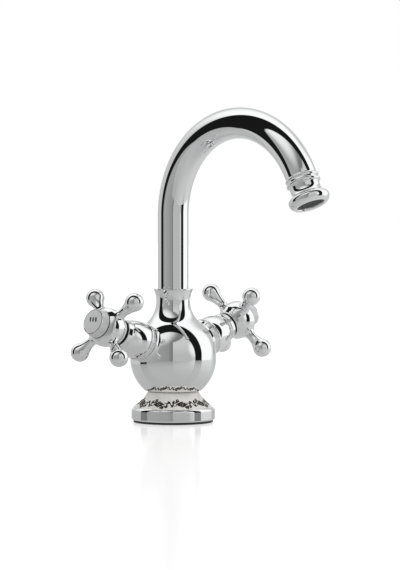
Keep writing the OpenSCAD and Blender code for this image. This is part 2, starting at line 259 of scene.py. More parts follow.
FLAG_ANGLE = math.radians(91.5)
OPENING_ANGLE = math.radians(68.8)
SEAM = (-0.012, 0.008)       # where the left half of the opening's grey turns into the right half
TABLE_R = 570
TABLE_Z = -0.02              # just under the floor that the camera sees
TABLE_SHIFT = 50             # the table's centre is this far to the camera's right
TABLE_LEFT = -215            # and its left side is cut off straight here
LOWER_TABLE_R = 700
LOWER_TABLE_Z = -97
FLOOR_R = 4000
DOME_R = 8                   # in metres, as are the lamps' distances and widths
LAMPS = {
    # degrees to the right of the camera and upwards, distance, width, power in watts
    "front_lamp": (-35, 35, 1.6, 1.2, 9),
    "right_lamp": (75, 40, 1.6, 1.2, 4),
}

# Tones of the cards, where 1 is white paper in full light
BLACK_CARD = 0.010
WHITE_CARD = 1.12
BEHIND_CARD = 0.98
SCREEN_FOOT = 0.62           # the side screens where they meet the table
REAR_FOOT = 0.60


def turned_view(sideways, upwards):
    """The level direction towards the camera, turned to the right and upwards by degrees."""
    a, e = math.radians(sideways), math.radians(upwards)
    level = np.array([math.sin(CAMERA_AZIMUTH), -math.cos(CAMERA_AZIMUTH), 0.0])
    flat = level * math.cos(a) + TO_RIGHT * math.sin(a)
    return flat * math.cos(e) + UP * math.sin(e)


def soft_card(t, direction, sideways, upwards, outer, inner):
    """One within inner degrees of a view direction, fading to zero at outer degrees."""
    along = t.along(direction, turned_view(sideways, upwards))
    return t.ramp(along, math.cos(math.radians(outer)), math.cos(math.radians(inner)))


def round_card(t, direction, centre, angle, soft):
    """One inside a round card seen under an angle about its centre, zero outside."""
    edge = math.cos(angle)
    return t.ramp(t.along(direction, centre), edge - soft, edge + soft)


def left_front_tone(t, direction, sideways):
    """The grey seen through the opening left of the seam: dim by the seam, white at the top left."""
    level = t.ramp(sideways, -0.95, -0.25, 0.40, 0.325)
    dim = t.ramp(sideways, -0.26, -0.01, 0.0, -0.115)
    glow = t.ramp(t.along(direction, turned_view(-60, 60)), 0.74, 0.985, 0.0, 0.62)
    return t.maths("ADD", t.maths("ADD", level, dim), glow)


def right_front_tone(t, direction, upwards):
    """The lighter grey right of the seam, whiter by the right edge of the opening."""
    level = t.ramp(upwards, 0.0, 0.62, 0.53, 0.66)
    glow = t.ramp(t.along(direction, turned_view(66, 15)), 0.90, 0.995, 0.0, 0.42)
    return t.maths("ADD", level, glow)


def add_surroundings():
    """Screens that whiten upwards, white cards right and behind, a black flag with a grey opening."""
    world = bpy.data.worlds.new("studio")
    bpy.context.scene.world = world
    t = Tree(world)
    direction = t.add("ShaderNodeTexCoord").outputs["Generated"]
    upwards = t.along(direction, UP)
    sideways = t.along(direction, turned_view(90, 0))

    screen = t.ramp(upwards, 0.12, 0.70, SCREEN_FOOT, WHITE_CARD)
    rear = t.ramp(upwards, 0.50, 0.92, REAR_FOOT, WHITE_CARD)
    screen = t.mix(soft_card(t, direction, 162, 0, 75, 45), screen, rear)
    screen = t.mix(soft_card(t, direction, 100, 14, 40, 24), screen, WHITE_CARD)
    screen = t.mix(soft_card(t, direction, -176, 6, 27, 8), screen, BEHIND_CARD)

    left = left_front_tone(t, direction, sideways)
    right = right_front_tone(t, direction, upwards)
    high_panel = t.ramp(t.along(direction, turned_view(-20, 70)), 0.82, 0.86)
    right = t.mix(high_panel, right, left)
    grey = t.mix(t.ramp(sideways, *SEAM), left, right)

    flag = round_card(t, direction, turned_view(-8.3, 3), FLAG_ANGLE, 0.02)
    opening = round_card(t, direction, turned_view(-7.25, 0), OPENING_ANGLE, 0.015)
    tone = t.mix(flag, screen, BLACK_CARD)
    tone = t.mix(opening, tone, grey)
    t.finish(t.add("ShaderNodeBackground", {"Color": tone}), "ShaderNodeOutputWorld")


def add_lamp(name, sideways, upwards, distance, width, power):
    """A soft lamp that lights dull surfaces and stays out of the reflections."""
    data = bpy.data.lights.new(name, "AREA")
    data.shape = "DISK"
    data.size = width
    data.energy = power
    lamp = bpy.data.objects.new(name, data)
    towards = Vector(turned_view(sideways, upwards))
    lamp.location = towards * distance
    lamp.rotation_mode = "QUATERNION"
    lamp.rotation_quaternion = towards.to_track_quat("Z", "Y")
    lamp.visible_glossy = False
    lamp.visible_camera = False
    bpy.context.scene.collection.objects.link(lamp)


def add_stage_piece(name, mesh, material, seen):
    """Adds a piece that only the camera sees, or else only light and reflections; it casts no shadow."""
    mesh.materials.append(material)
    piece = bpy.data.objects.new(name, mesh)
    bpy.context.scene.collection.objects.link(piece)
    piece.visible_camera = seen
    for ray in ("diffuse", "glossy", "transmission"):
        setattr(piece, "visible_" + ray, not seen)
    piece.visible_shadow = False


def stage_disc(name, shift, radius, height, material, seen, left_side=-math.inf):
    """A round sheet, shifted to the camera's right and cut off straight at its left side."""
    sides = 128
    ring = np.column_stack([spokes(sides) * radius, np.full(sides, height)])
    ring += TO_RIGHT * shift
    beyond = np.maximum(left_side - ring @ TO_RIGHT, 0)
    ring += beyond[:, None] * TO_RIGHT
    mesh = bpy.data.meshes.new(name)
    mesh.from_pydata((ring * MM).tolist(), [], [list(range(sides))])
    add_stage_piece(name, mesh, material, seen)


def floor_material():
    """Paper that glows near white, with a faint shadow and a faint gloss."""
    material, t = new_material("pale_floor")
    glow = t.add("ShaderNodeEmission", {"Strength": 0.55})
    paint = t.add("ShaderNodeBsdfPrincipled", {
        "Base Color": (0.42, 0.42, 0.42, 1), "Roughness": 0.16, "Specular IOR Level": 0.12,
    })
    t.finish(t.add("ShaderNodeAddShader", {0: glow.outputs[0], 1: paint.outputs[0]}))
    return material


def table_material():
    """The table in the reflections: a grey glow under a clear gloss, with painted light to the right and painted
    shade near the middle.
    """
    material, t = new_material("table_top")
    place = t.add("ShaderNodeNewGeometry").outputs["Position"]
    # painted light: the glow brightens towards the right
    painted_light_right = t.ramp(t.along(place, turned_view(115, 0)), -0.25, 0.25, 0.50, 0.68)
    distance = t.add("ShaderNodeVectorMath", {0: place}, operation="LENGTH").outputs["Value"]
    # painted shade: the glow darkens near the middle, round the mixer's foot
    shade = t.ramp(distance, 0.02, 0.16, 0.86, 1.0)
    glow = t.add("ShaderNodeEmission", {"Strength": t.maths("MULTIPLY", painted_light_right, shade)})
    gloss = t.add("ShaderNodeBsdfGlossy", {"Roughness": 0.07})
    fresnel = t.add("ShaderNodeFresnel", {"IOR": 1.36})
    t.finish(t.add("ShaderNodeMixShader", {0: fresnel.outputs[0], 1: glow.outputs[0], 2: gloss.outputs[0]}))
    return material


def add_backdrop():
    """A plain white dome that only the camera sees."""
    material, t = new_material("backdrop")
    t.finish(t.add("ShaderNodeEmission"))
    mesh = bpy.data.meshes.new("backdrop")
    shape = bmesh.new()
    bmesh.ops.create_uvsphere(shape, u_segments=48, v_segments=24, radius=DOME_R)
    shape.to_mesh(mesh)
    shape.free()
    add_stage_piece("backdrop", mesh, material, True)


def add_stage():
    """The floor and backdrop the camera sees, the table the chrome reflects, and the lamps."""
    table = table_material()
    stage_disc("pale_floor", 0, FLOOR_R, 0, floor_material(), True)
    stage_disc("table_top", TABLE_SHIFT, TABLE_R, TABLE_Z, table, False, TABLE_LEFT)
    stage_disc("lower_table", 0, LOWER_TABLE_R, LOWER_TABLE_Z, table, False)
    add_backdrop()
    for name, settings in LAMPS.items():
        add_lamp(name, *settings)


# ---- Materials ----

NOISE_SPAN = (0.35, 0.7)     # where most of the noise lies
FINER_BUMP = 6               # how much finer a bump is than the clouds of its colour
BUMP_HEIGHT = 0.0002


def new_material(name):
    """A material and its empty tree."""
    material = bpy.data.materials.new(name)
    return material, Tree(material)


def object_noise(t, scale):
    """Noise that stays put on the piece."""
    place = t.add("ShaderNodeTexCoord").outputs["Object"]
    return t.add("ShaderNodeTexNoise", {"Vector": place, "Scale": scale, "Detail": 3.0}).outputs["Fac"]


def clouded(t, dark, light, grain):
    """A colour that wanders between two colours."""
    return t.mix_colour(object_noise(t, grain), (*dark, 1), (*light, 1))


def metal(name, colour, smooth, rough, grain, metallic=1.0):
    """Metal whose roughness wanders between two values."""
    material, t = new_material(name)
    t.finish(t.add("ShaderNodeBsdfPrincipled", {
        "Base Color": (*colour, 1), "Metallic": metallic,
        "Roughness": t.ramp(object_noise(t, grain), *NOISE_SPAN, smooth, rough),
    }))
    return material


def matt(name, dark, light, roughness, grain, bump, gloss=0.5):
    """A dull material, clouded between two colours, with a fine bump."""
    material, t = new_material(name)
    fine = object_noise(t, grain * FINER_BUMP)
    bumps = t.add("ShaderNodeBump", {"Strength": bump, "Distance": BUMP_HEIGHT, "Height": fine})
    t.finish(t.add("ShaderNodeBsdfPrincipled", {
        "Base Color": clouded(t, dark, light, grain), "Roughness": roughness,
        "Specular IOR Level": gloss, "Normal": bumps.outputs["Normal"],
    }))
    return material


def glazed(name, dark, light, grain):
    """Glaze: a clouded colour under a clear, smooth coat."""
    material, t = new_material(name)
    t.finish(t.add("ShaderNodeBsdfPrincipled", {
        "Base Color": clouded(t, dark, light, grain), "Roughness": 0.35,
        "Coat Weight": 0.6, "Coat Roughness": 0.04,
    }))
    return material


CHROME = metal("chrome", (0.86, 0.865, 0.87), 0.012, 0.035, 90)
PLATE = metal("frosted_plate", (0.72, 0.725, 0.73), 0.38, 0.46, 400, 0.35)
BRASS = metal("machined_brass", (0.78, 0.58, 0.28), 0.22, 0.38, 300)
STEEL = metal("plain_steel", (0.55, 0.55, 0.56), 0.25, 0.4, 300)
WIRE = matt("steel_wire", (0.10, 0.10, 0.105), (0.14, 0.14, 0.145), 0.5, 500, 0.05)
RUBBER = matt("black_rubber", (0.018, 0.018, 0.02), (0.03, 0.03, 0.032), 0.62, 260, 0.25)
# Near-black and nearly glossless, darker than the rubber: painted shade in the gaps round the wiper and the cap,
# over the wiper seal's own black
SEAL_AND_SHADE_BLACK = matt("seal_and_painted_shade_black", (0.004, 0.004, 0.005), (0.008, 0.008, 0.009), 0.8, 260, 0.1, 0.12)
GREY_RUBBER = matt("grey_rubber", (0.2, 0.2, 0.205), (0.27, 0.27, 0.275), 0.6, 260, 0.2)
DARK_PLASTIC = matt("dark_plastic", (0.055, 0.055, 0.057), (0.075, 0.075, 0.078), 0.5, 180, 0.15)
WHITE_PLASTIC = matt("white_plastic", (0.82, 0.82, 0.8), (0.88, 0.88, 0.86), 0.4, 180, 0.1)
VALVE_CERAMIC = matt("valve_ceramic", (0.86, 0.86, 0.88), (0.92, 0.92, 0.94), 0.18, 220, 0.05)
GLAZE = glazed("white_glaze", (0.86, 0.84, 0.80), (0.90, 0.885, 0.85), 60)
SCROLL_GLAZE = matt("brown_glaze", (0.008, 0.005, 0.004), (0.035, 0.022, 0.014), 0.45, 500, 0.05, 0.2)
ENAMEL = matt("dark_enamel", (0.006, 0.006, 0.007), (0.012, 0.012, 0.013), 0.6, 300, 0.05, 0.2)

CAD_MATERIALS = {
    "brass_casting": BRASS, "valve_brass": BRASS, "screw_steel": STEEL, "bush_plastic": WHITE_PLASTIC,
    "seal_rubber": RUBBER, "valve_ceramic": VALVE_CERAMIC, "aerator_plastic": DARK_PLASTIC,
}


def paint_cad_nodes():
    """Gives each CAD node that isn't replaced the material of its slot in the record."""
    for part in frame["record"]["subparts"]:
        material = CAD_MATERIALS.get(part["material_slot"])
        if material:
            for holder in frame["nodes"][part["node"]].material_slots:
                holder.material = material


# ---- Meshes ----

def add_piece(name, body, material, points, faces, normals, replaced=()):
    """A smooth piece from points in metres, faces and one normal for each face corner."""
    mesh = bpy.data.meshes.new(name)
    mesh.from_pydata(points.tolist(), [], faces)
    mesh.polygons.foreach_set("use_smooth", [True] * len(mesh.polygons))
    mesh.normals_split_custom_set(normals.tolist())
    mesh.materials.append(material)
    piece = bpy.data.objects.new(name, mesh)
    bpy.context.scene.collection.objects.link(piece)
    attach(piece, body)
    if replaced:
        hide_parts(*replaced)


TOUCHING = 1e-6              # a distance too small to matter, in mm
AROUND = 192                 # steps round a turned piece
FINE_AROUND = 256            # and round a large one


class Outline:
    """Half the section of a turned piece as (radius, height), traced with the material on the left."""

    FINE = 0.45              # longest step along an arc
    COARSEST = 6             # and the widest, in degrees

    def __init__(self, radius, height):
        self.start = np.array([radius, height], float)
        self.at = self.start
        self.runs = []

    def line(self, *corners):
        for corner in corners:
            corner = np.array(corner, float)
            way = corner - self.at
            if np.linalg.norm(way) > TOUCHING:
                normal = np.array([way[1], -way[0]]) / np.linalg.norm(way)
                self.runs.append((np.stack([self.at, corner]), np.stack([normal, normal])))
                self.at = corner
        return self

    def arc(self, radius, height, arc_r, first, last):
        """An arc round (radius, height) from one angle to another, in degrees, joined by a straight run."""
        sweep = abs(last - first)
        steps = max(4, math.ceil(math.radians(sweep) * arc_r / self.FINE), math.ceil(sweep / self.COARSEST))
        angles = np.radians(np.linspace(first, last, steps + 1))
        rays = np.stack([np.cos(angles), np.sin(angles)], axis=1)
        points = np.array([radius, height]) + arc_r * rays
        self.line(points[0])
        points[0] = self.at
        self.runs.append((points, rays * (1 if last > first else -1)))
        self.at = points[-1]
        return self

    def close(self):
        return self.line(self.start)


def band(inner_r, outer_r, low, high, low_edge, high_edge):
    """The outline of a plain band whose outer edges are rounded."""
    outline = Outline(inner_r, low)
    if low_edge:
        outline.arc(outer_r - low_edge, low + low_edge, low_edge, -90, 0)
    else:
        outline.line((outer_r, low))
    return outline.arc(outer_r - high_edge, high - high_edge, high_edge, 0, 90).line((inner_r, high)).close()


def turned_mesh(outline, placement, around):
    """Points, faces and corner normals of an outline turned round its placement's z axis."""
    rays = spokes(around)
    closed = np.linalg.norm(outline.at - outline.start) < TOUCHING
    profile = [outline.start]
    spans = []
    for points, normals in outline.runs:
        for k in range(len(points) - 1):
            spans.append((len(profile) - 1, len(profile), normals[k], normals[k + 1]))
            profile.append(points[k + 1])
    if closed:
        last = len(profile) - 1
        profile = profile[:-1]
        spans = [(a, 0 if b == last else b, n, m) for a, b, n, m in spans]

    points, first_number, poles = [], [], []
    for radius, height in profile:
        first_number.append(len(points))
        poles.append(radius < TOUCHING)
        if poles[-1]:
            points.append((0, 0, height))
        else:
            points.extend((radius * c, radius * s, height) for c, s in rays)

    faces, normals = [], []
    for a, b, normal_a, normal_b in spans:
        if poles[a] and poles[b]:
            continue
        for j in range(around):
            k = (j + 1) % around
            corners = [(a, normal_a, j), (a, normal_a, k), (b, normal_b, k), (b, normal_b, j)]
            if poles[a]:
                del corners[1]
            if poles[b]:
                del corners[2]
            faces.append([first_number[place] + (0 if poles[place] else i) for place, _, i in corners])
            normals.extend((n[0] * rays[i][0], n[0] * rays[i][1], n[1]) for _, n, i in corners)
    return placement.points(points), faces, placement.directions(normals)


def turned_piece(name, body, material, outline, placement, replaced=(), around=AROUND):
    """A piece turned from its outline."""
    points, faces, normals = turned_mesh(outline, placement, around)
    add_piece(name, body, material, points, faces, normals, replaced)


# ---- Base ----

def add_base():
    """The gasket, the chrome ring, and the cushions under and over the ceramic."""
    rubber_edge = 0.2
    gasket = band(BASE_HOLE_R, GASKET_R, 0, GASKET_TOP, rubber_edge, rubber_edge)
    replaced = ["deck_gasket"]
    turned_piece("gasket_rubber", "body", RUBBER, gasket, UPRIGHT, replaced, FINE_AROUND)

    edge_r = 2.6                 # rounding of the ring's upper edge
    lap_r = PEDESTAL_FOOT_R + GAP
    ring = Outline(BASE_HOLE_R, GASKET_TOP)
    ring.arc(RING_R - 1.1, GASKET_TOP + 0.3, 0.3, -90, -45)  # bevel at the foot
    ring.arc(RING_R - 0.4, GASKET_TOP + 1.1, 0.4, -45, 0)
    ring.arc(RING_R - edge_r, RING_TOP - 1.5, edge_r, 0, 58)
    ring.line((lap_r, RING_TOP + 0.5), (lap_r, RING_TOP), (BASE_HOLE_R, RING_TOP)).close()
    turned_piece("base_ring_chrome", "body", CHROME, ring, UPRIGHT, ["base_ring"], FINE_AROUND)

    for name, inner_r, outer_r, low, high in (
        ("lower_cushion", 24.2, 27.6, RING_TOP, PEDESTAL_FOOT),
        ("upper_cushion", SPIGOT_R + 0.1, 17.5, PEDESTAL_TOP, BALL_CUT),
    ):
        edge = outer_r - 0.1
        outline = Outline(inner_r, low).line((edge, low))
        outline.arc(edge, (low + high) / 2, (high - low) / 2, -90, 90).line((inner_r, high)).close()
        turned_piece(name + "_rubber", "body", GREY_RUBBER, outline, UPRIGHT, [name])


class Flare:
    """The pedestal's hollow side: one arc from its foot to its top."""

    def __init__(self):
        foot = np.array([PEDESTAL_FOOT_R, PEDESTAL_FOOT + PEDESTAL_EDGE])
        top = np.array([PEDESTAL_TOP_R, PEDESTAL_TOP])
        chord = foot - top
        half = np.linalg.norm(chord) / 2
        across = np.array([-chord[1], chord[0]]) / np.linalg.norm(chord)
        self.centre = (foot + top) / 2 + across * math.sqrt(FLARE_R**2 - half**2)
        self.foot_angle = self.angle_of(foot)
        self.top_angle = self.angle_of(top)

    def angle_of(self, place):
        return math.atan2(*(place - self.centre)[::-1]) % (2 * math.pi)

    def surface(self, height, lift):
        """Radius and z of points at a distance up the arc from the foot, lifted off the surface."""
        angle = self.foot_angle + np.sign(self.top_angle - self.foot_angle) * height / FLARE_R
        reach = FLARE_R - lift
        return self.centre[0] + reach * np.cos(angle), self.centre[1] + reach * np.sin(angle)


FLARE = Flare()


def add_pedestal():
    """The ceramic ring: flared outside and hollow inside."""
    foot_bore_r, wall_r, crown_r = 24, 23, 15
    bore_r = SPIGOT_R + 0.4
    outline = Outline(foot_bore_r, PEDESTAL_FOOT)
    outline.line((PEDESTAL_FOOT_R, PEDESTAL_FOOT), (PEDESTAL_FOOT_R, PEDESTAL_FOOT + PEDESTAL_EDGE))
    outline.arc(*FLARE.centre, FLARE_R, math.degrees(FLARE.foot_angle), math.degrees(FLARE.top_angle))
    outline.line((bore_r, PEDESTAL_TOP), (bore_r, PEDESTAL_TOP - 3), (crown_r, PEDESTAL_TOP - 4))
    outline.line((wall_r, PEDESTAL_FOOT + 3)).close()
    replaced = ["ceramic_pedestal"]
    turned_piece("pedestal_glaze", "body", GLAZE, outline, UPRIGHT, replaced, FINE_AROUND)


# ---- Scrolls on the pedestal ----

SCROLLS = 9                  # repeats round the pedestal
SCROLL_R = 22.6              # radius where the pattern is measured round
SCROLL_MIDDLE = 5.3          # distance of the pattern's middle up the flare
SCROLL_STRETCH = np.array([0.98, 1.04])
STROKE_TIP = 0.12            # half width of a stroke at its ends
# Across a ribbon: the share of its half width, and how far it stands off the surface
SCROLL_SECTION = ((-1, -0.06), (-0.8, 0.07), (0, 0.11), (0.8, 0.07), (1, -0.06))
MARK_SECTION = ((-1, -0.05), (-0.85, 0.03), (0.85, 0.03), (1, -0.05))


def on_flare(places, lift):
    """Points in mm for places given as (way round, way up the flare)."""
    radius, height = FLARE.surface(places[:, 1], lift)
    turn = places[:, 0] / SCROLL_R
    return np.stack([radius * np.cos(turn), radius * np.sin(turn), height], axis=1)


def curling_line(start, heading, length, curl, power, steps):
    """A line whose heading turns faster and faster towards its end."""
    s = np.linspace(0, 1, steps)
    angles = heading + curl * s**power
    ways = np.stack([np.cos(angles), np.sin(angles)], axis=1) * length / (steps - 1)
    return np.array(start, float) + np.cumsum(ways, axis=0) - ways[0]


def scroll_lines():
    """One repeat of the pattern as (line, half widths): an S scroll, its curls and its leaves."""
    lines = []

    def stroke(start, heading, length, curl, power, widest, steps):
        line = curling_line(start, math.radians(heading), length, curl, power, steps)
        swell = np.sin(math.pi * np.linspace(0, 1, steps) ** 0.7) ** 0.7
        lines.append((line * SCROLL_STRETCH, STROKE_TIP + (widest - STROKE_TIP) * swell))

    stroke((0, 0), -38, 11.5, 5.6, 2.2, 0.58, 60)
    stroke((0, 0), 142, 11.5, 5.6, 2.2, 0.58, 60)
    stroke((-3.1, 2.1), 128, 4.6, -4.6, 1.6, 0.46, 34)
    stroke((3.3, -2.0), -52, 4.6, -4.6, 1.6, 0.46, 34)
    for start, heading, length, curl in (
        ((-1.2, 0.9), 70, 3.3, -1.6), ((-0.3, 0.3), 48, 3.8, -1.5), ((0.8, -0.4), 28, 3.9, -1.2),
        ((1.8, -1.2), 55, 3.2, 1.2), ((1.2, -0.9), 250, 2.9, -1.6), ((0.3, -0.2), 228, 3.6, -1.5),
        ((-0.8, 0.5), 208, 3.7, -1.2), ((-1.9, 1.3), 236, 2.9, 1.2), ((-3.6, 2.8), 30, 2.6, -1.5),
        ((3.7, -2.7), 210, 2.6, -1.5), ((-4.6, 3.1), 190, 3.2, 1.6), ((4.6, -3.1), 10, 3.2, 1.6),
        ((-6.2, -0.6), 230, 2.4, 1.4), ((6.2, 0.6), 50, 2.4, 1.4),
    ):
        stroke(start, heading, length, curl, 1.2, 0.74, 16)
    for start, heading in (((-7.6, 0.2), 100), ((-7.9, 1.6), 140), ((-7.4, -1.4), 60), ((7.5, 1.4), 80)):
        stroke(start, heading, 1.9, 1.2, 1.0, 0.56, 10)
    return lines


def tube_faces(number, flipped):
    """Faces of a closed tube, from its points' numbers with a row for each ring."""
    rings, across = number.shape
    faces = []
    for i in range(rings - 1):
        for j in range(across):
            k = (j + 1) % across
            faces.append([number[i, j], number[i + 1, j], number[i + 1, k], number[i, k]])
    faces += [list(number[0]), list(number[-1, ::-1])]
    return [[int(n) for n in (face[::-1] if flipped else face)] for face in faces]


def ribbons(lines, section, surface, flipped=False):
    """Points and faces of low ribbons, each a (line, half width), laid where surface(places, lift) says."""
    points, faces, base = [], [], 0
    for line, half in lines:
        ahead = np.gradient(line, axis=0)
        ahead /= np.linalg.norm(ahead, axis=1)[:, None]
        aside = np.stack([-ahead[:, 1], ahead[:, 0]], axis=1) * np.reshape(half, (-1, 1))
        rows = np.stack([surface(line + aside * share, lift) for share, lift in section], axis=1)
        number = np.arange(rows.shape[0] * rows.shape[1]).reshape(rows.shape[:2]) + base
        points.append(rows.reshape(-1, 3))
        faces += tube_faces(number, flipped)
        base += number.size
    return np.concatenate(points), faces


def blended_normals(points, faces):
    """For each face corner, the mean normal of the faces that meet there."""
    total = np.zeros_like(points)
    for face in faces:
        corners = points[face]
        normal = sum(np.cross(corners[i - 1], corners[i]) for i in range(len(face)))
        total[face] += normal
    total /= np.linalg.norm(total, axis=1)[:, None]
    return total[[i for face in faces for i in face]]


def add_scrolls():
    """The pattern repeated round the pedestal as low ribbons of glaze."""
    repeat = 2 * math.pi * SCROLL_R / SCROLLS
    lines = []
    for line, half in scroll_lines():
        lines += [(line + (k * repeat, SCROLL_MIDDLE), half) for k in range(SCROLLS)]
    points, faces = ribbons(lines, SCROLL_SECTION, on_flare)
    normals = blended_normals(points, faces)
    add_piece("pedestal_scrolls", "body", SCROLL_GLAZE, points * MM, faces, normals)


# ---- Body ----

def add_body():
    """The hollow casting: ball, neck and collar in one outline, and the two valve bosses."""
    upper_z = BALL_Z + BALL_RISE
    rise = NECK_Z - upper_z
    waist_r = (NECK_R**2 + rise**2 - BALL_R**2) / (2 * (BALL_R - NECK_R))
    touch = math.degrees(math.atan2(rise, NECK_R + waist_r))
    rim_z = COLLAR_TOP - COLLAR_RIM
    rim_angle = math.degrees(math.asin((rim_z - NECK_Z) / waist_r))
    cut_angle = math.degrees(math.asin((BALL_CUT - BALL_Z) / BALL_R))
    inner_r = BALL_R - BALL_WALL
    inner_floor = BALL_CUT + 2.4
    floor_angle = math.degrees(math.asin((inner_floor - BALL_Z) / inner_r))
    neck_bore = 9.2
    crown_angle = math.degrees(math.acos(neck_bore / inner_r))
    seat_r = TUBE_R + 0.35
    seat_z = TUBE_FOOT - 0.6
    under_edge, outer_edge, inner_edge = 0.15, 0.3, 0.2      # roundings of the collar
    outline = Outline(SPIGOT_R, BALL_CUT)
    outline.arc(0, BALL_Z, BALL_R, cut_angle, 0)
    outline.arc(0, upper_z, BALL_R, 0, touch)
    outline.arc(NECK_R + waist_r, NECK_Z, waist_r, 180 + touch, 180 - rim_angle)
    outline.arc(COLLAR_R - under_edge, rim_z + under_edge, under_edge, -60, 0)
    outline.arc(COLLAR_R - outer_edge, COLLAR_TOP - outer_edge, outer_edge, 0, 90)
    outline.arc(seat_r + inner_edge, COLLAR_TOP - inner_edge, inner_edge, 90, 180)
    outline.line((seat_r, seat_z), (neck_bore, seat_z))
    outline.arc(0, upper_z, inner_r, crown_angle, 0)
    outline.arc(0, BALL_Z, inner_r, 0, floor_angle)
    outline.line((SPIGOT_R, inner_floor)).close()
    turned_piece("body_chrome", "body", CHROME, outline, UPRIGHT, ["body_shell"], FINE_AROUND)
    for side, placement in VALVES.items():
        boss = band(BOSS_BORE_R, BOSS_R, BOSS_START, BOSS_END, 0, 0.35)
        turned_piece(side + "_boss_chrome", "body", CHROME, boss, placement)


# ---- Valves ----

def add_valve_covers(side):
    """The tapered ring against the boss, and the barrel-shaped bonnet with its bead and its rolled end."""
    placement = VALVES[side]
    bore_r, ring_foot, ring_edge = 9.3, BOSS_END + GAP, 0.7
    ring = Outline(bore_r, ring_foot).line((12.4, ring_foot))
    ring.arc(12.9, BONNET_RING_END - ring_edge, ring_edge, -25, 90).line((bore_r, BONNET_RING_END)).close()
    replaced = [side + "_bonnet_ring"]
    turned_piece(side + "_bonnet_ring_chrome", "body", CHROME, ring, placement, replaced)

    foot = BONNET_RING_END + GAP
    bead_r, bead_end = 12.9, 36.8
    wide_r, wide_at, curve_r = 13.3, 39.5, 24
    mouth_r = 6.9
    foot_angle = math.degrees(math.asin((bead_end - wide_at) / curve_r))
    outline = Outline(11.5, foot)
    outline.arc(bead_r, foot + 1, 1, -90, 0)
    outline.arc(bead_r, bead_end - 1, 1, 0, 80)
    outline.arc(wide_r - curve_r, wide_at, curve_r, foot_angle, 29)
    outline.line((10, 52))
    outline.arc(10.1, 53.2, 0.5, -60, 10)
    outline.arc(9.5, BONNET_END - 0.5, 0.5, 10, 90)
    outline.line((mouth_r, BONNET_END), (mouth_r, 53), (9.1, 49), (11.3, 45), (11.7, 40)).close()
    turned_piece(side + "_bonnet_chrome", "body", CHROME, outline, placement, [side + "_bonnet"])


def add_wiper(side):
    """The black ring that closes the gap between the bonnet and the turning handle, its near-black both the seal's
    own and painted shade of the gap.
    """
    inner_r, outer_r, edge_r = 5.5, 9.3, 0.3
    outline = band(inner_r, outer_r, BONNET_END + GAP, HUB_START - 0.2, edge_r, edge_r)
    # the seal's own black, darkened to paint the shade in the gap
    turned_piece(
        side + "_wiper_seal_and_shade", "body", SEAL_AND_SHADE_BLACK, outline, VALVES[side], [side + "_wiper"],
    )


# ---- Spout ----

def add_spout_tube():
    """Outer and inner walls swept up, round the bend and into the bell, closed at both ends."""
    end = BEND_R * BEND_ANGLE
    rise = BEND_Z - TUBE_FOOT
    straight = np.linspace(0, rise, 40, endpoint=False)
    bend = rise + np.linspace(0, end, 240)
    tail = rise + end + np.array([TUBE_TAIL / 2, TUBE_TAIL])
    around = 128
    side = np.array([1.0, 0, 0])
    centres, ways, rays = [], [], []
    for s in np.concatenate([straight, bend, tail]):
        angle = min(max((s - rise) / BEND_R, 0), BEND_ANGLE)
        extra = max(0, s - rise - end)
        way = np.array([0, -math.sin(angle), math.cos(angle)])
        low = TUBE_FOOT + min(s, rise)
        centre = np.array([0, -BEND_R * (1 - math.cos(angle)), low + BEND_R * math.sin(angle)])
        centres.append(centre + way * extra)
        ways.append(way)
        rays.append(spokes(around) @ np.stack([side, np.cross(way, side)]))
    centres, rays = np.array(centres), np.array(rays)
    count = len(centres)
    walls = [centres[:, None, :] + rays * radius for radius in (TUBE_R, TUBE_R - TUBE_WALL)]
    points = np.concatenate(walls).reshape(-1, 3)
    number = np.arange(len(points)).reshape(2, count, around)
    outside, inside = number

    faces, normals = [], []
    for i in range(count - 1):
        for j in range(around):
            k = (j + 1) % around
            square = [(i, j), (i, k), (i + 1, k), (i + 1, j)]
            faces.append([int(outside[corner]) for corner in square])
            normals += [rays[corner] for corner in square]
            faces.append([int(inside[corner]) for corner in square[::-1]])
            normals += [-rays[corner] for corner in square[::-1]]
    for i, sign in ((0, -1), (count - 1, 1)):
        for j in range(around):
            k = (j + 1) % around
            loop = [int(n) for n in (outside[i, j], inside[i, j], inside[i, k], outside[i, k])]
            faces.append(loop if sign < 0 else loop[::-1])
            normals += [ways[i] * sign] * 4
    add_piece(
        "spout_chrome", "spout", CHROME, points * MM, faces, np.array(normals), ["spout_tube"],
    )


def add_outlet():
    """The bell: two beads, a hollow waist and a thick rounded lip, bored for the tube and the aerator."""
    tube_bore_r, tube_seat = TUBE_R + 0.02, 4.3
    water_r, aerator_r, aerator_seat = 8.4, 9.4, 9.5
    lip = BELL_LENGTH - 4.8
    outline = Outline(tube_bore_r, -0.9)
    outline.arc(10.4, 0.7, 1.4, -60, 60)                     # first bead
    outline.arc(10.5, 4.1, 1.5, -60, 67.5)                   # second bead
    outline.arc(11.4, 6.27, 0.85, 247.5, 180)                # groove under it
    outline.arc(16.93, lip - 7.6, 6.38, 180, 126)            # waist
    outline.arc(11.4, lip, 3.1, -54, 0)                      # back of the lip
    outline.arc(9.5, lip, 5, 0, 68)                          # front of the lip
    outline.arc(10.85, lip + 3.34, 1.4, 68, 180)             # its rounding into the mouth
    outline.line((aerator_r, 19.3), (aerator_r, aerator_seat), (water_r, aerator_seat))
    outline.line((water_r, tube_seat), (tube_bore_r, tube_seat)).close()
    replaced = ["outlet_bell"]
    turned_piece("outlet_chrome", "spout", CHROME, outline, OUTLET, replaced, FINE_AROUND)


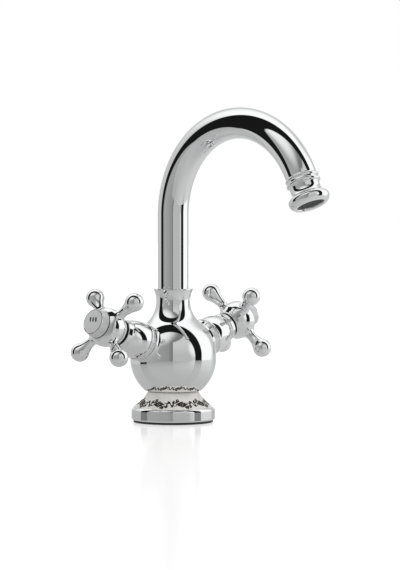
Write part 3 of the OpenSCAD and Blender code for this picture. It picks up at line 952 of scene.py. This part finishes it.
def add_screen():
    """Woven wire: each wire waves over and under the ones that cross it."""
    screen_r = 8.2
    pitch = 0.82
    wire_r = 0.17
    wave = 0.19
    level = 18.9                 # distance of the weave's middle down the bell
    sides = 6
    count = int(screen_r / pitch - 0.5)
    points, faces, normals = [], [], []
    for lengthways in (False, True):
        for row in range(-count, count + 1):
            offset = row * pitch
            half = math.sqrt(screen_r**2 - offset**2)
            steps = max(sides, int(half * 2 / pitch * 4))
            along = np.linspace(-half, half, steps)
            lift = wave * np.cos(math.pi * (along / pitch + row + lengthways))
            number = np.arange(steps * sides).reshape(steps, sides) + len(points)
            for x, z in zip(along, lift):
                for c, s in spokes(sides):
                    ray = np.array([0, c, s])
                    place = np.array([x, offset, level + z]) + ray * wire_r
                    if lengthways:
                        place[:2] = place[1], place[0]
                        ray[:2] = ray[1], ray[0]
                    points.append(place)
                    normals.append(ray)
            faces += tube_faces(number, flipped=not lengthways)
    corner_normals = np.array(normals)[[n for face in faces for n in face]]
    add_piece(
        "screen_wires", "spout", WIRE, OUTLET.points(points), faces,
        OUTLET.directions(corner_normals), ["aerator_screen"],
    )


# ---- Handles ----

def outline_distance(corners, across, along):
    """Signed distance from points to a closed outline, negative inside."""
    nearest = np.full(across.shape, 1e9)
    inside = np.zeros(across.shape, bool)
    for (ax, ay), (bx, by) in zip(corners, corners[1:] + corners[:1]):
        dx, dy = bx - ax, by - ay
        share = np.clip(((across - ax) * dx + (along - ay) * dy) / (dx * dx + dy * dy), 0, 1)
        nearest = np.minimum(nearest, (across - ax - dx * share) ** 2 + (along - ay - dy * share) ** 2)
        if dy:
            inside ^= ((ay > along) != (by > along)) & (across < ax + dx * (along - ay) / dy)
    return np.sqrt(nearest) * np.where(inside, -1, 1)


def smooth_union(first, second, reach):
    """The union of two distances with a hollow blend as wide as reach."""
    h = np.clip(0.5 + 0.5 * (second - first) / reach, 0, 1)
    return second + (first - second) * h - reach * h * (1 - h)


def arm_distance(along, across):
    """Distance to a round arm: a stem that swells in a hollow arc into the ball at its end."""
    arc_height = ARM_R + ARM_FLARE_R
    arc_start = ARM_REACH - math.sqrt((ARM_BALL_R + ARM_FLARE_R) ** 2 - arc_height**2)
    stem = across - ARM_R
    from_arc = np.hypot(along - arc_start, across - arc_height)
    swell = ARM_FLARE_R - from_arc
    ball = np.hypot(along - ARM_REACH, across) - ARM_BALL_R
    ball_side = (along - arc_start) * arc_height - (arc_height - across) * (ARM_REACH - arc_start)
    return np.where(along < arc_start, stem, np.where(ball_side > 0, ball, swell))


def arc_points(place, radius, first, last, steps, at_start=False):
    """Points along an arc round a place, or along one that starts at that place."""
    angles = np.radians(np.linspace(first, last, steps + 1))
    rays = np.stack([np.cos(angles), np.sin(angles)], axis=1)
    centre = np.array(place) - radius * rays[0] if at_start else np.array(place)
    return [tuple(point) for point in centre + radius * rays]


def hub_corners():
    """The hub's section: a bead at its foot, a wide belly, and a shoulder that leans in to the cap."""
    foot = [
        (0, HUB_START), (9.3, HUB_START), (9.58, HUB_START + 0.12), (9.7, HUB_START + 0.4),
        (9.7, HUB_START + 1), (9.5, HUB_START + 1.4), (10.6, HUB_START + 2.5),
    ]
    shoulder_r, front_r = 2.2, 14
    belly = arc_points((HUB_R - HUB_BELLY_CURVE, HUB_BELLY_AT), HUB_BELLY_CURVE, -21, 14, 14)
    shoulder = arc_points(belly[-1], shoulder_r, 14, 47, 9, at_start=True)
    front = arc_points(shoulder[-1], front_r, 47, 60, 8, at_start=True)
    return foot + belly + shoulder[1:] + front[1:] + [(0, front[-1][1])]


def handle_distance(points):
    """Signed distance to a cross handle; x and y lie along its arms and z along the valve."""
    x, y, z = np.abs(points[:, 0]), np.abs(points[:, 1]), points[:, 2]
    radius = np.hypot(x, y)
    hub = outline_distance(hub_corners(), radius, z)
    arm = arm_distance(np.maximum(x, y), np.hypot(np.minimum(x, y), z - ARMS_AT))
    solid = smooth_union(hub, arm, ARM_BLEND)
    spindle_bore = np.maximum(radius - SPINDLE_BORE_R, z - SPINDLE_BORE_END)
    screw_bore = radius - SCREW_BORE_R
    cap_recess = np.maximum(radius - CAP_RECESS_R, CAP_RECESS_FLOOR - z)
    return np.maximum(solid, -np.minimum(np.minimum(spindle_bore, screw_bore), cap_recess))


def gradient(distance, points):
    """Outward unit normals of a distance function at points near its surface."""
    step = 0.02
    slopes = []
    for axis in np.eye(3):
        slopes.append(distance(points + axis * step) - distance(points - axis * step))
    slopes = np.stack(slopes, axis=1)
    return slopes / np.maximum(np.linalg.norm(slopes, axis=1, keepdims=True), 1e-12)


def neighbours(axis):
    """Two indexes that pair each grid point with the next one along an axis."""
    lower, upper = [slice(None)] * 3, [slice(None)] * 3
    lower[axis], upper[axis] = slice(None, -1), slice(1, None)
    return tuple(lower), tuple(upper)


def surface_net(distance, low, high, step):
    """Quads on the surface of a distance function: one point in each cube that the surface crosses."""
    axes = [np.arange(l, h + step, step) for l, h in zip(low, high)]
    grid = np.stack(np.meshgrid(*axes, indexing="ij"), axis=-1)
    shape = grid.shape[:3]
    value = distance(grid.reshape(-1, 3)).reshape(shape)
    inside = value < 0
    cells = tuple(n - 1 for n in shape)

    total = np.zeros((*cells, 3))
    crossings = np.zeros(cells)
    for axis in range(3):
        lower, upper = neighbours(axis)
        v0, v1 = value[lower], value[upper]
        crossed = (v0 < 0) != (v1 < 0)
        share = np.where(crossed, v0 / np.where(crossed, v0 - v1, 1), 0)
        place = grid[lower].copy()
        place[..., axis] += share * step
        others = [a for a in range(3) if a != axis]
        for i in (0, 1):
            for j in (0, 1):
                cut = [slice(None)] * 3
                cut[others[0]] = slice(i, i + cells[others[0]])
                cut[others[1]] = slice(j, j + cells[others[1]])
                here = crossed[tuple(cut)]
                total += place[tuple(cut)] * here[..., None]
                crossings += here
    used = crossings > 0
    index = np.full(cells, -1)
    index[used] = np.arange(used.sum())
    points = total[used] / crossings[used][:, None]
    for _ in range(3):           # draws the points onto the surface
        points -= gradient(distance, points) * distance(points)[:, None]

    faces = []
    for axis in range(3):
        b, c = (axis + 1) % 3, (axis + 2) % 3
        lower, upper = neighbours(axis)
        first = inside[lower]
        places = np.argwhere(first != inside[upper])
        places = places[(places[:, b] > 0) & (places[:, c] > 0)]
        outwards = first[tuple(places.T)]
        step_b, step_c = np.eye(3, dtype=int)[b], np.eye(3, dtype=int)[c]
        ring = [places, places - step_b, places - step_b - step_c, places - step_c]
        quads = np.stack([index[tuple(p.T)] for p in ring], axis=1)
        quads[~outwards] = quads[~outwards][:, ::-1]
        faces.append(quads)
    return points, np.concatenate(faces)


def handle_mesh():
    """One cross handle as points, quads and normals in its own frame."""
    half = ARM_REACH + ARM_BALL_R + 1
    below = 1.03                 # keeps the grid off the hub's flat foot
    step = 0.5
    low, high = (-half, -half, HUB_START - below), (half, half, HUB_FRONT + 1)
    points, faces = surface_net(handle_distance, low, high, step)
    return points, faces, gradient(handle_distance, points)


def add_handle(side, mesh):
    """The cross handle, turned so that its arms stand as they do at rest."""
    placement = VALVES[side]
    axis = placement.axes[2]
    up = UP - axis * (UP @ axis)
    up /= np.linalg.norm(up)
    first_arm = BACK * math.cos(ARM_CLOCK) + up * math.sin(ARM_CLOCK)
    second_arm = np.cross(axis, first_arm)
    axes = np.stack([first_arm, second_arm, axis])
    local, faces, normals = mesh
    points = (placement.origin + local @ axes) * MM
    corner_normals = (normals @ axes)[faces.reshape(-1)]
    add_piece(
        side + "_handle_chrome", side + "_valve", CHROME, points, faces.tolist(), corner_normals,
        [side + "_handle"],
    )


def plate_top(radius):
    """Height of the cap's satin plate at a distance from its axis."""
    return CAP_FACE - 0.06 + (PLATE_R**2 - radius**2) / (2 * PLATE_DOME_R)


def add_index_cap(side):
    """The frosted cap on a near-black ring of painted shade in its joint, the bright rim round its face and the
    domed plate inside.
    """
    placement = VALVES[side]
    body = side + "_valve"
    foot = HUB_FRONT - 1.8
    joint = HUB_FRONT + 0.85     # top of the painted shade ring in the joint, where the cap starts to show
    foot_r, bore_r, stem_r = 9.75, 5.5, 7.5
    plate_edge = CAP_FACE - 0.12
    rim_foot = CAP_FACE - 0.8
    crown = CAP_FACE - 3
    cap = Outline(0, crown).line((bore_r, crown), (bore_r, foot), (stem_r, foot), (stem_r, joint))
    cap.line((foot_r, joint)).arc(foot_r, joint + 0.25, 0.25, -90, 8)
    cap.line((CAP_R + 0.15, rim_foot), (0, rim_foot))
    turned_piece(side + "_cap_frosted", body, PLATE, cap, placement, [side + "_index_cap"])

    # a near-black ring of painted shade in the joint between hub and cap
    ring = band(CAP_RECESS_R, 9.7, HUB_FRONT, joint, 0, 0.1)
    turned_piece(side + "_cap_shadow_ring", body, SEAL_AND_SHADE_BLACK, ring, placement)

    rim = Outline(PLATE_R, rim_foot).line((CAP_R, rim_foot)).arc(CAP_R - 0.35, CAP_FACE - 0.35, 0.35, 5, 90)
    rim.line((PLATE_R + 0.2, CAP_FACE), (PLATE_R, plate_edge)).close()
    turned_piece(side + "_cap_rim", body, CHROME, rim, placement)

    edge = math.degrees(math.acos(PLATE_R / PLATE_DOME_R))
    dome_centre = plate_top(PLATE_R) - PLATE_DOME_R * math.sin(math.radians(edge))
    plate = Outline(0, rim_foot).line((PLATE_R, rim_foot), (PLATE_R, plate_edge))
    plate.arc(0, dome_centre, PLATE_DOME_R, edge, 90)
    turned_piece(side + "_cap_plate", body, PLATE, plate, placement)


def mark_strokes(side):
    """The mark as (line, half width), with places towards the back and upwards: three waves or a star."""
    if side == "hot":
        half, tall, apart, sway, above = 0.7, 1.6, 2.7, 0.25, 1.5
        rise = np.linspace(-tall, tall, 13)
        wave = sway * np.sin(rise * math.pi / tall)
        return [(np.stack([wave + apart * i, rise + above], axis=1), half) for i in (-1, 0, 1)]
    half, long, above = 0.36, 1.8, 1.4
    strokes = []
    for k in range(3):
        angle = math.radians(60 * k)
        along = np.array([math.cos(angle), math.sin(angle)])
        strokes.append((np.linspace(-long, long, 9)[:, None] * along + (0, above), half))
    return strokes


def add_index_mark(side):
    """Dark enamel strokes that stand just proud of the cap's plate."""
    placement = VALVES[side]
    upright = 1 if placement.axes[1] @ UP > 0 else -1

    def on_plate(places, lift):
        height = plate_top(np.linalg.norm(places, axis=1)) + lift
        return np.column_stack([places[:, 0], places[:, 1] * upright, height])

    points, faces = ribbons(mark_strokes(side), MARK_SECTION, on_plate, flipped=upright < 0)
    normals = placement.directions(blended_normals(points, faces))
    add_piece(
        side + "_mark_enamel", side + "_valve", ENAMEL, placement.points(points), faces,
        normals, [side + "_index_mark"],
    )


# ---- Run ----

add_camera()
add_surroundings()
add_stage()
paint_cad_nodes()
add_base()
add_pedestal()
add_scrolls()
add_body()
add_spout_tube()
add_outlet()
add_screen()
cross_handle = handle_mesh()
for valve_side in ("hot", "cold"):
    add_valve_covers(valve_side)
    add_wiper(valve_side)
    add_handle(valve_side, cross_handle)
    add_index_cap(valve_side)
    add_index_mark(valve_side)

bpy.context.scene.view_settings.view_transform = "Standard"
bpy.context.scene.cycles.use_denoising = True
